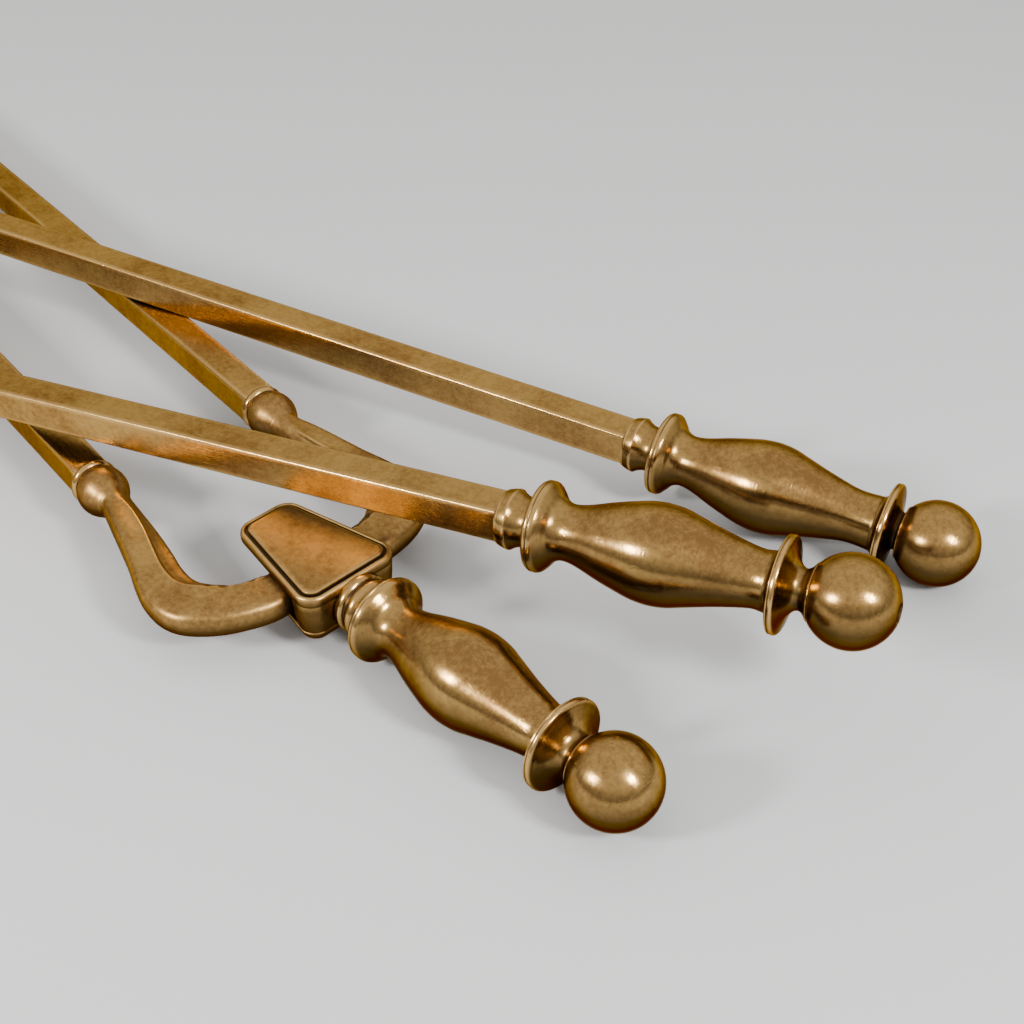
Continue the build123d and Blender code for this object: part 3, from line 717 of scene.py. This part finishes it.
# The panel's flat top is given a hollow too, which darkens it a little and makes it rougher.
PANEL = [(2.6, 8.2, 1.0), (2.55, 8.7, 0.6), (2.57, 9.1, 0.0), (2.7, 9.45, -0.45), (3.0, 9.68, -0.35),
         (3.5, 9.78, 0.0), (4.2, 9.8, 0.3), (5.2, 9.8, 0.32), (8.5, 9.8, 0.32)]
HEEL = [(4.6, -9.3, 0), (3.0, -8.9, -0.1), (1.9, -7.8, -0.1), (1.2, -6.0, 0), (0.7, -3.5, 0), (0.35, 0.0, 0),
        (0.15, 3.4, 0), (0.05, 5.2, 0), (0.3, 6.0, 0)]
UNDER_PLATE = [(2.0, 5.0, 0), (1.2, 5.1, 0), (0.9, 5.6, -0.2), (1.1, 6.6, 0), (1.6, 7.8, -0.1),
               (2.3, 8.7, -0.3), (3.0, 9.0, -0.2), (3.4, 8.7, 0.6), (3.5, 8.3, 0.9), (4.4, 8.3, 0.9)]
UNDER_PANEL = [(4.1, 8.3, 0.9), (4.05, 9.0, 0.2), (4.3, 9.7, -0.4), (4.8, 10.0, -0.3), (7.0, 10.1, 0)]
RIB = [(0.0, -5.2, 0.3), (0.0, -4.0, 0), (0.25, 0.0, 0), (0.0, 4.0, 0), (0.0, 5.2, 0.3)]


def make_housing():
    """Two plates with inset covers, joined by the heel block and the rib between the arms."""
    upper, under = plate_outline(TIP), plate_outline(UNDER_TIP, UNDER_CORNER)
    stack("top_cheek", upper, PLATE, TONGS, ["hinge_housing"])
    stack("top_panel", upper, PANEL, TONGS, ["top_cover"])
    stack("under_cheek", under, UNDER_PLATE, TONGS, [], flip=True)
    stack("under_panel", under, UNDER_PANEL, TONGS, ["bottom_cover"], flip=True)
    stack("heel_block", plate_outline(HEEL_END, HEEL_CORNER), HEEL, TONGS, [])
    stack("centre_rib", rib_outline, RIB, TONGS, [])


# ---------------------------------------------------------------- working ends of the poker and the shovel

POKER_COLLAR, POKER_POINT, POKER_END = 628.0, 634.0, 690.0
POINT_ROOT, POINT_TIP, POINT_SWELL = 5.4, 1.7, 0.35    # half widths of the forged point
POINT_STEPS = 24
SHOVEL_COLLAR, PAN_WALL = 552.0, 584.0
PAN_LENGTH, PAN_HALF, PAN_CORNER, SHEET = 128.0, 48.0, 12.0, 1.6
# (distance from the pan's back, height) of the corners of its wall's top
WALL_TOP = [(0.0, 40.0), (22.0, 40.0), (52.0, 25.0), (PAN_LENGTH, 5.0)]
PAN_RIVET_CIRCLE = 12.0      # radius round the shaft's axis
PAN_RIVET_ANGLES = (30, 150, 270)


def collar_line():
    """Outline of the three beads at the root of the poker's point."""
    c, end = POKER_COLLAR, POKER_POINT
    return outline_of(
        (c, ON_AXIS), [(c, 7.0)],
        [(c + 0.3, 7.9), (c + 1.0, 8.2), (c + 1.7, 7.9)],
        [(c + 2.0, 7.5)],
        [(c + 2.5, 8.2), (c + 3.2, 8.4), (c + 4.0, 8.2)],
        [(c + 4.4, 7.5)],
        [(c + 4.9, 7.8), (c + 5.5, 7.7), (end, 7.2)],
        [(end, ON_AXIS)])


def make_poker_end():
    """Square shaft, beaded collar and forged square point."""
    bar_loft("poker_square_shaft", bar_stations(FERRULE_END, POKER_COLLAR), POKER, "poker", ["poker_shaft"],
             "drawn_brass", seed=1.0)
    lathe("poker_collar", collar_line(), POKER, "poker", ["poker_tip"], "drawn_brass")
    taper = POKER_END - 1.2 - POKER_POINT
    stations = []
    for i in range(POINT_STEPS + 1):
        share = i / POINT_STEPS
        half = POINT_ROOT + (POINT_TIP - POINT_ROOT) * share + POINT_SWELL * math.sin(math.pi * share)
        stations.append((POKER_POINT + taper * share, half))
    stations += [(POKER_END - 0.4, 1.2), (POKER_END, 0.6)]
    point = [(x, -half, half, half) for x, half in stations]
    bar_loft("poker_forged_point", point, POKER, "poker", [], "drawn_brass", 1.1, 5.0)


def socket_line():
    """Outline of the shovel socket: beaded collar, waisted neck and the foot on the pan's back wall."""
    c, foot = SHOVEL_COLLAR, PAN_WALL - 1.2
    return outline_of(
        (c, ON_AXIS), [(c, 8.6)],
        [(c + 0.4, 9.3), (c + 1.4, 9.7), (c + 2.4, 9.3)],
        [(c + 2.7, 8.7)],
        [(c + 3.3, 9.1), (c + 4.0, 9.2), (c + 4.7, 8.7)],
        [(c + 5.1, 7.6), (c + 8.0, 6.9), (c + 16.0, 6.6), (c + 23.0, 7.6), (foot - 1.6, 10.2)],
        [(foot - 0.9, 12.0), (foot - 0.2, 15.2), (foot, 17.0)],
        [(foot + 0.5, 17.5), (foot + 1.3, 17.6)],
        [(foot + 1.9, 17.3)],
        [(foot + 1.9, ON_AXIS)])


def pan_rivet_line():
    """Outline of a rivet through the socket's foot and the pan; station 0 is the pan's outer face."""
    return outline_of(
        (-2.9, ON_AXIS), [(-2.75, 1.3), (-2.2, 2.6), (-1.1, 3.7)],
        [(-0.9, 2.2)],
        [(1.5, 2.2)],
        [(1.6, 3.9)],
        [(2.2, 3.5), (2.8, 2.4), (3.1, 1.2), (3.2, ON_AXIS)])


def wall_height(x):
    """Height of the pan's wall at a distance from its back."""
    for (start, high), (end, low) in zip(WALL_TOP, WALL_TOP[1:]):
        if x <= end:
            break
    return high + (low - high) * (x - start) / (end - start)


def pan_section(height):
    """Section of the pan's wall with its wired rim, up the outside and down the inside to the floor,
    as (inset, height, hollow). A low wall has a smaller rim and a smaller bend at its foot."""
    bead = min(1.0, (height - SHEET) / 6)
    foot = min(2.4, 0.35 * height)
    wire = [(0.0, -2.9, 0.4), (-0.45, -2.4, 0), (-0.7, -1.5, -0.3), (-0.4, -0.6, -0.4), (0.35, -0.1, -0.4),
            (1.2, -0.05, -0.4), (1.9, -0.5, -0.3), (2.25, -1.4, 0), (2.1, -2.2, 0), (SHEET, -2.9, 0.5)]
    rim = [(inset if inset in (0.0, SHEET) else inset * bead + 0.8 * (1 - bead), height + drop * bead, hollow)
           for inset, drop, hollow in wire]
    return ([(foot, 0.0, 0), (foot * 0.4, 0.25, 0), (foot * 0.1, foot * 0.4, 0), (0.0, foot, 0)] + rim
            + [(SHEET, SHEET + foot * 0.7, 0.1), (SHEET + 0.4, SHEET + foot * 0.25, 0.35),
               (SHEET + foot * 0.6, SHEET, 0.3), (SHEET + foot * 1.4, SHEET, 0)])


def pan_path():
    """Plan of the outside of the pan's wall from one front corner to the other, with inward directions."""
    steps = int((PAN_LENGTH - PAN_CORNER) / STATION_GAP)
    side = [PAN_LENGTH - STATION_GAP * i for i in range(steps)] + [PAN_CORNER]
    path = [(Vector((x, PAN_HALF)), Vector((0, -1))) for x in side]
    for centre_y, start in ((PAN_HALF - PAN_CORNER, 90), (PAN_CORNER - PAN_HALF, 180)):
        for i in range(1, 10):
            angle = math.radians(start + 10 * i)
            inward = Vector((-math.cos(angle), -math.sin(angle)))
            path.append((Vector((PAN_CORNER, centre_y)) - inward * PAN_CORNER, inward))
    return path + [(Vector((x, -PAN_HALF)), Vector((0, 1))) for x in reversed(side)]


def make_pan(level):
    """Sheet pan with a wired rim and a plain front lip."""
    path = pan_path()
    verts, depth = [], []
    for spot, inward in path:
        for inset, height, hollow in pan_section(wall_height(spot.x)):
            place = spot + inward * inset
            verts.append((place.x, place.y, height))
            depth.append(hollow)
    count = len(verts) // len(path)
    faces = []
    for i in range(len(path) - 1):
        for j in range(count - 1):
            a, b = i * count + j, (i + 1) * count + j
            faces.append((a, b, b + 1, a + 1))
    last = (len(path) - 1) * count
    faces.append(tuple(range(count)))                                       # front end of one side wall
    faces.append(tuple(reversed(range(last, last + count))))                # and of the other
    faces.append(tuple(i * count for i in reversed(range(len(path)))))      # underside
    faces.append(tuple(i * count + count - 1 for i in range(len(path))))    # floor
    faces.append((0, count - 1, last + count - 1, last))                    # front edge of the floor
    add_piece("shovel_wired_pan", verts, faces, depth, level, "shovel", ["shovel_pan"], "working_brass", 40)


def make_shovel_end():
    """Square shaft, socket, pan and the three rivets that hold the socket's foot to the pan."""
    bar_loft("shovel_square_shaft", bar_stations(FERRULE_END, SHOVEL_COLLAR), SHOVEL, "shovel",
             ["shovel_shaft"], "drawn_brass", seed=2.0)
    lathe("shovel_turned_socket", socket_line(), SHOVEL, "shovel", ["shovel_socket"], "turned_brass")
    wall = SHOVEL @ Vector((PAN_WALL * MM, 0, 0))
    heading = math.atan2(SHOVEL[1][0], SHOVEL[0][0])
    level = Matrix.Translation((wall.x, wall.y, 0)) @ Matrix.Rotation(heading, 4, "Z")
    make_pan(level)
    for number, angle in enumerate(PAN_RIVET_ANGLES):
        turn = math.radians(angle)
        spot = Vector((0, math.cos(turn), math.sin(turn))) * PAN_RIVET_CIRCLE * MM + Vector((0, 0, wall.z))
        place = level @ Matrix.Translation(spot)
        stands_for = ["shovel_rivets"] if number == 0 else []
        lathe(f"pan_rivet_{number + 1}", pan_rivet_line(), place, "shovel", stands_for, "working_brass")


# ---------------------------------------------------------------- finish of the CAD nodes that stay

def finish_nodes():
    """Gives each CAD node the material of its slot."""
    for entry in frame["record"]["subparts"]:
        materials = frame["nodes"][entry["node"]].data.materials
        materials.clear()
        materials.append(FINISHES[entry["material_slot"]])


# ---------------------------------------------------------------- floor, lights and camera

def camera_axes(look, elevation, roll):
    """Right, up and back vectors of a camera looking along an azimuth, down by an elevation."""
    azimuth, drop, turn = math.radians(look), math.radians(elevation), math.radians(roll)
    level = Vector((math.cos(azimuth), math.sin(azimuth), 0))
    forward = level * math.cos(drop) - Z * math.sin(drop)
    right = forward.cross(Z).normalized()
    up = right.cross(forward)
    return (right * math.cos(turn) + up * math.sin(turn),
            up * math.cos(turn) - right * math.sin(turn), -forward)


# Metres, degrees and millimetres of focal length. The camera's place is from the tongs' ball.
CAMERA_FROM_BALL = Vector((0.2107, -0.2357, 0.3415))
RIGHT, UP, BACK = camera_axes(look=136.49, elevation=38.12, roll=-1.64)
LENS = 59.27

LIGHT_DISTANCE, LIGHT_SIZE, LIGHT_WATTS = 1.0, 0.18, 9
FLOOR_HALF = 30.0
FLOOR_DARK, FLOOR_LIGHT = (0.60, 0.60, 0.60, 1), (0.64, 0.64, 0.64, 1)
SKY_TINT = (1.0, 0.99, 0.97, 1)
SKY_LOW, SKY_HIGH = 0.3, 1.05          # strength at the horizon and overhead
SKY_FULL = 0.6                         # upward part of the direction from which it is as overhead


def make_camera():
    """Camera at the tools' handles."""
    data = bpy.data.cameras.new("camera")
    data.lens = LENS
    data.sensor_width = 36.0
    camera = bpy.data.objects.new("camera", data)
    bpy.context.scene.collection.objects.link(camera)
    turn = Matrix((RIGHT, UP, BACK)).transposed().to_4x4()
    camera.matrix_world = Matrix.Translation(ball_centre("tongs") + CAMERA_FROM_BALL) @ turn
    bpy.context.scene.camera = camera


def soft_box(name, right, up, back):
    """Square area light that faces the handles from a direction in the camera's axes."""
    data = bpy.data.lights.new(name, "AREA")
    data.shape = "RECTANGLE"
    data.size = data.size_y = LIGHT_SIZE
    data.energy = LIGHT_WATTS
    light = bpy.data.objects.new(name, data)
    bpy.context.scene.collection.objects.link(light)
    handles = ball_centre("tongs") + Vector((-0.1, 0.05, 0))
    direction = right * RIGHT + up * UP + back * BACK
    spot = handles + direction.normalized() * LIGHT_DISTANCE
    light.matrix_world = Matrix.Translation(spot) @ direction.to_track_quat("Z", "Y").to_matrix().to_4x4()


def make_floor():
    """Plain pale floor, large enough that its edge is far off in every view."""
    mesh = bpy.data.meshes.new("floor")
    corners = [(x * FLOOR_HALF, y * FLOOR_HALF, 0) for x, y in ((-1, -1), (1, -1), (1, 1), (-1, 1))]
    mesh.from_pydata(corners, [], [(0, 1, 2, 3)])
    floor = bpy.data.objects.new("floor", mesh)
    bpy.context.scene.collection.objects.link(floor)
    material, tree, surface = shader("pale_floor")
    grain = cloud(tree, scale=3, detail=3, rough=0.5)
    feed(tree, surface, Base_Color=mix(tree, grain, FLOOR_DARK, FLOOR_LIGHT), Roughness=0.6)
    mesh.materials.append(material)


def make_world():
    """Even studio light from above that falls off towards the horizon."""
    world = bpy.data.worlds.new("studio")
    world.use_nodes = True
    tree = world.node_tree
    direction = add(tree, "ShaderNodeTexCoord").outputs["Generated"]
    height = add(tree, "ShaderNodeSeparateXYZ", Vector=direction).outputs["Z"]
    glow = ramp(tree, height, 0.0, SKY_FULL, SKY_LOW, SKY_HIGH)
    feed(tree, tree.nodes["Background"], Color=SKY_TINT, Strength=glow)
    bpy.context.scene.world = world


# ---------------------------------------------------------------- build

make_handle("tongs", TONGS, tongs_ferrule_line(), TONGS_FLANGE_END)
make_handle("poker", POKER, ferrule_line(), POKER_FLANGE_END)
make_handle("shovel", SHOVEL, ferrule_line(), SHOVEL_FLANGE_END, holed=True)
make_poker_end()
make_shovel_end()
make_arm("near", 1)
make_arm("far", -1)
make_housing()
finish_nodes()
make_camera()
make_world()
make_floor()
soft_box("left_box", right=-0.756, up=0.126, back=0.62)
soft_box("right_box", right=0.553, up=0.134, back=0.82)
